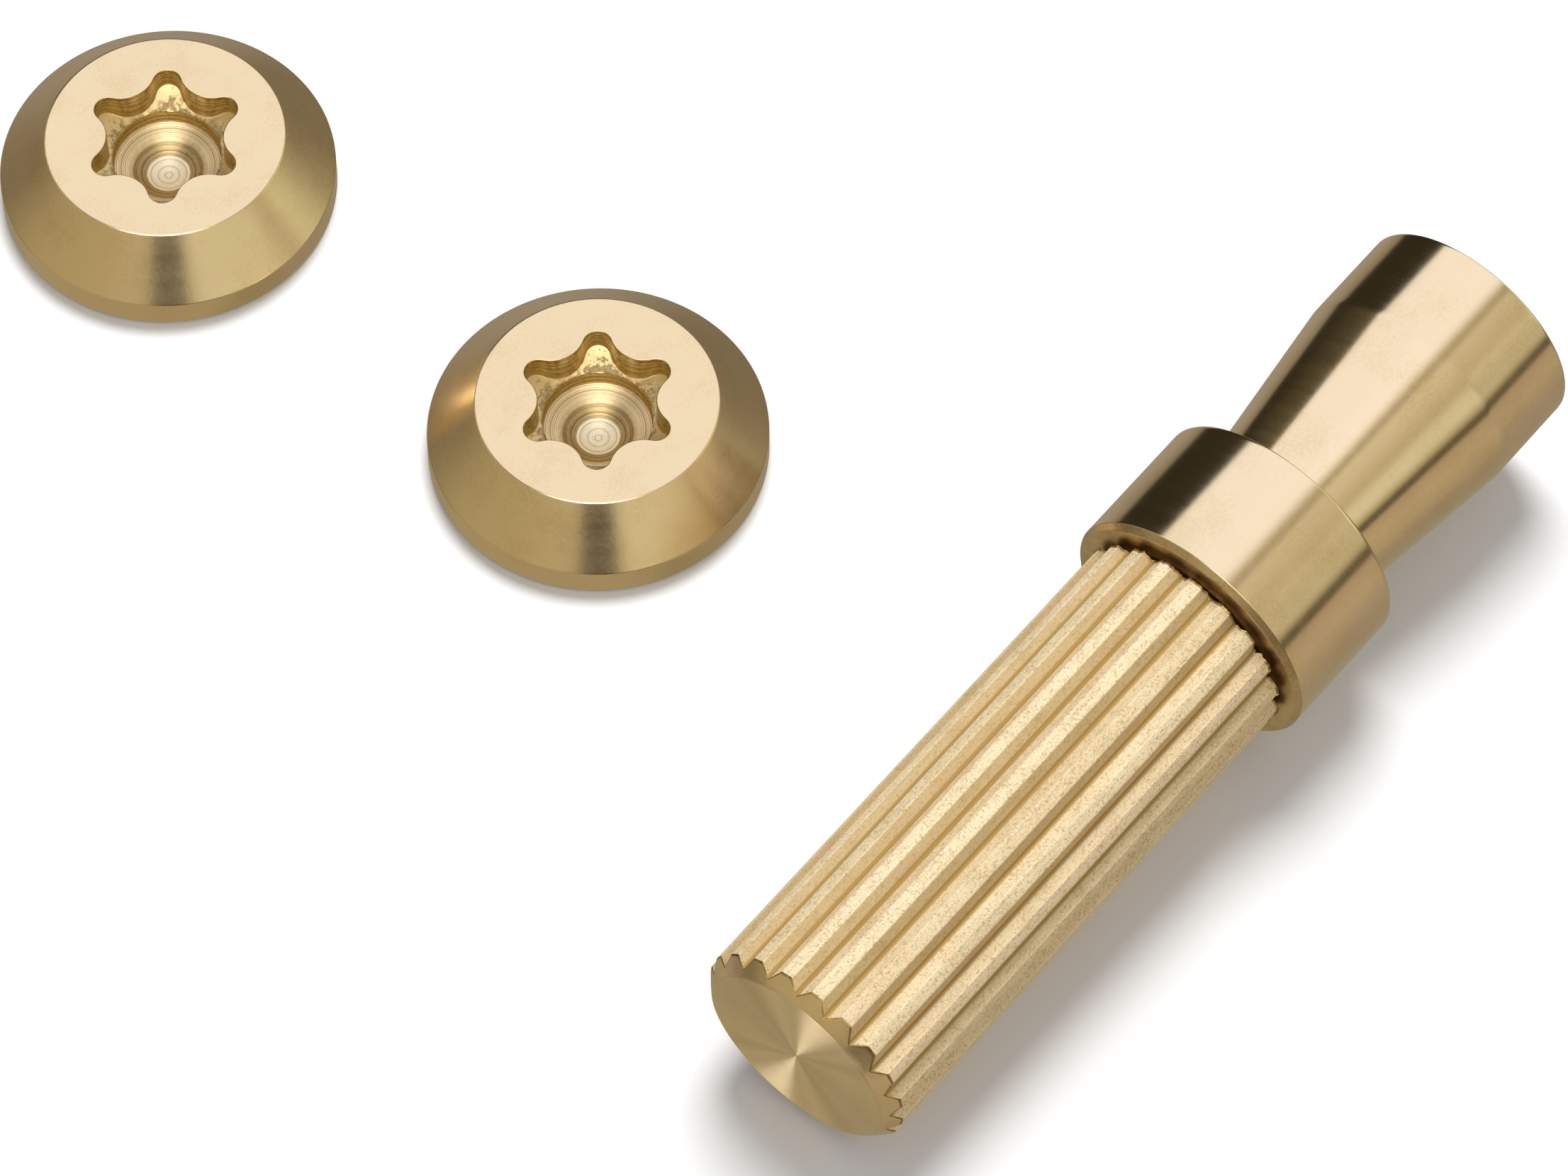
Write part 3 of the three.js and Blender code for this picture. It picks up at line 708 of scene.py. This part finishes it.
def build_world():
    """A studio as the metal sees it: a large softbox overhead, a dark card on the far side, a dimmer panel
    on the near side with a gap above it, and a table that is dim at a low angle. Diffuse rays see a dim soft fill with
    lighter bands towards -y, and camera rays see plain pale grey."""
    w = bpy.data.worlds.new("studio")
    bpy.context.scene.world = w
    w.use_nodes = True
    g = Nodes(w.node_tree)
    d = g.node("ShaderNodeTexCoord").outputs["Generated"]
    sep = g.node("ShaderNodeSeparateXYZ")
    g.put(sep.inputs[0], d)
    x, y, z = sep.outputs
    near = g.math("ADD", g.math("MULTIPLY", x, -0.767734), g.math("MULTIPLY", y, -0.640769))
    side = g.math("ADD", g.math("MULTIPLY", x, 0.640769), g.math("MULTIPLY", y, -0.767734))
    zp = g.math("MAXIMUM", z, 0.02)
    q = g.math("DIVIDE", y, zp)
    p = g.math("DIVIDE", x, zp)
    up = g.math("MULTIPLY_ADD", z, 0.5, 0.5)
    base = g.ramp(up, [(0.0, (0.34, 0.31, 0.23)), (0.075, (0.345, 0.305, 0.22)), (0.20, (0.38, 0.335, 0.27)),
                       (0.30, (0.345, 0.31, 0.25)), (0.375, (0.27, 0.235, 0.18)), (0.45, (0.19, 0.165, 0.12)),
                       (0.50, (0.22, 0.19, 0.13)), (0.545, (0.33, 0.29, 0.20)), (0.595, (0.45, 0.40, 0.24)),
                       (0.65, (0.50, 0.445, 0.275)), (0.73, (0.47, 0.41, 0.25)), (0.91, (0.68, 0.63, 0.48)),
                       (1.0, (0.70, 0.66, 0.52))])
    # the table close by, on the near side, is lit better
    low = g.ramp(up, [(0.0, (0.27, 0.235, 0.16)), (0.10, (0.33, 0.29, 0.19)), (0.20, (0.44, 0.385, 0.265)),
                      (0.33, (0.52, 0.445, 0.305)), (0.47, (0.47, 0.39, 0.28))])
    m = g.math("MULTIPLY", g.smooth(near, 0.0, 0.22), g.smooth(z, -0.01, -0.04))
    c = g.mix(m, base, low)
    # and warmer towards the grip's end
    c = g.mix(g.math("MULTIPLY", g.smooth(x, 0.05, -0.25), g.smooth(z, -0.30, -0.60)), c, (0.43, 0.375, 0.25))
    # the far left of the table is darker
    m = g.math("MULTIPLY", g.math("MULTIPLY", g.smooth(side, -0.15, 0.30), g.smooth(near, -0.50, -0.70)), g.smooth(z, -0.10, -0.22))
    c = g.mix(m, c, (0.215, 0.185, 0.135))
    # the near panel is a little brighter to the right
    m = g.math("MULTIPLY", g.smooth(side, 0.05, 0.35), g.math("MULTIPLY", g.smooth(z, 0.12, 0.32), g.smooth(z, 0.60, 0.46)))
    c = g.mix(m, c, (0.76, 0.755, 0.585))
    c = g.mix(g.math("MULTIPLY", m, g.smooth(near, 0.40, 0.26)), c, (0.53, 0.485, 0.34))
    c = g.mix(g.math("MULTIPLY", m, g.smooth(near, 0.16, 0.06)), c, (0.86, 0.86, 0.62))
    # thin dark line of the horizon on the right
    m = g.math("MULTIPLY", g.math("MULTIPLY", g.smooth(near, 0.08, 0.16), g.smooth(side, 0.5, 0.7)),
               g.math("MULTIPLY", g.smooth(z, -0.035, 0.0), g.smooth(z, 0.13, 0.10)))
    c = g.mix(m, c, (0.105, 0.09, 0.055))
    # a dark upright gap on the camera's side
    m = g.math("MULTIPLY", g.math("MULTIPLY", g.smooth(g.math("ABSOLUTE", side), 0.19, 0.15), g.smooth(near, 0.2, 0.35)),
               g.math("MULTIPLY", g.smooth(z, 0.05, 0.12), g.smooth(z, 0.72, 0.66)))
    c = g.mix(m, c, (0.045, 0.038, 0.018))
    # the gap between the softbox and the near panel
    m = g.math("MULTIPLY", g.smooth(g.math("ABSOLUTE", g.math("ADD", q, 0.40)), 0.11, 0.03), g.smooth(z, 0.5, 0.6))
    c = g.mix(g.math("MULTIPLY", m, 0.85), c, (0.38, 0.33, 0.23))
    # the softbox
    m = g.math("MULTIPLY", g.smooth(q, -0.34, -0.17), g.smooth(q, 1.27, 1.20))
    m = g.math("MULTIPLY", m, g.math("MULTIPLY", g.smooth(p, 2.9, 2.6), g.smooth(p, -0.62, -0.36)))
    box = g.math("MULTIPLY", m, g.smooth(z, 0.04, 0.12))
    c = g.mix(box, c, (1.06, 1.08, 1.14))
    # a strip light high over the grip's end, with a dark edge on each side
    end = g.math("MULTIPLY", g.smooth(x, -0.10, -0.24), g.smooth(z, 0.66, 0.74))
    m = g.math("MULTIPLY", end, g.math("MULTIPLY", g.smooth(q, 0.12, 0.22), g.smooth(q, 1.1, 0.9)))
    c = g.mix(m, c, (0.16, 0.14, 0.09))
    m = g.math("MULTIPLY", end, g.math("MULTIPLY", g.smooth(q, 0.10, 0.0), g.smooth(q, -1.3, -1.1)))
    c = g.mix(m, c, (3.8, 3.72, 3.55))
    m = g.math("MULTIPLY", g.math("MULTIPLY", g.smooth(x, -0.18, -0.30), g.smooth(y, -0.55, -0.68)),
               g.smooth(g.math("ABSOLUTE", z), 0.24, 0.16))
    c = g.mix(m, c, (0.06, 0.05, 0.03))
    # the dark card on the far side
    m = g.math("MULTIPLY", g.math("MULTIPLY", g.smooth(y, 0.45, 0.6), g.smooth(x, 0.08, 0.25)),
               g.math("MULTIPLY", g.smooth(z, -0.24, -0.18), g.smooth(q, 1.24, 1.29)))
    c = g.mix(m, c, (0.027, 0.023, 0.013))
    path = g.node("ShaderNodeLightPath")
    soft = g.mix(g.smooth(z, -0.02, 0.02), (0.44, 0.37, 0.26), (0.355, 0.36, 0.385))
    band = g.math("MULTIPLY", g.smooth(y, -0.15, -0.65), g.smooth(z, -0.40, 0.05))
    soft = g.mix(band, soft, (0.86, 0.74, 0.50))
    band = g.math("MULTIPLY", g.smooth(y, -0.15, -0.65), g.smooth(z, -0.02, 0.04))
    soft = g.mix(band, soft, (0.68, 0.70, 0.73))
    c = g.mix(path.outputs["Is Glossy Ray"], soft, c)
    c = g.mix(path.outputs["Is Camera Ray"], c, (0.93, 0.93, 0.93))
    back = g.node("ShaderNodeBackground")
    g.put(back.inputs["Color"], c)
    out = g.node("ShaderNodeOutputWorld")
    g.put(out.inputs["Surface"], back.outputs[0])


def build_light():
    data = bpy.data.lights.new("key", "AREA")
    data.shape = "DISK"
    data.size = 0.34
    data.energy = 4.1
    o = bpy.data.objects.new("key", data)
    bpy.context.scene.collection.objects.link(o)
    o.location = Vector((0.24, 0.15, 0.60))
    o.rotation_mode = "QUATERNION"
    o.rotation_quaternion = (Vector((0, 0, 0)) - o.location).to_track_quat("-Z", "Y")
    o.visible_glossy = False
    o.visible_camera = False


def build_camera():
    data = bpy.data.cameras.new("camera")
    data.sensor_fit = "HORIZONTAL"
    data.sensor_width = 36.0
    data.lens = 12000 / 2212 * 36
    data.clip_start, data.clip_end = 0.01, 20.0
    cam = bpy.data.objects.new("camera", data)
    bpy.context.scene.collection.objects.link(cam)
    bpy.context.scene.camera = cam
    pitch, roll = math.radians(57.869065), math.radians(-0.305132)
    ahead = Vector((0.76773414, 0.64076851, 0))
    fwd = ahead * math.cos(pitch) + Vector((0, 0, -math.sin(pitch)))
    right = Vector((ahead.y, -ahead.x, 0))
    up = ahead * math.sin(pitch) + Vector((0, 0, math.cos(pitch)))
    r2 = right * math.cos(roll) + up * math.sin(roll)
    u2 = up * math.cos(roll) - right * math.sin(roll)
    m = Matrix((r2, u2, -fwd)).transposed().to_4x4()
    m.translation = Vector((-0.123096, -0.108371, 0.250078))
    cam.matrix_world = m


build_floor()
build_world()
build_light()
build_camera()
bpy.context.scene.view_settings.view_transform = "Standard"

bpy.context.view_layer.update()
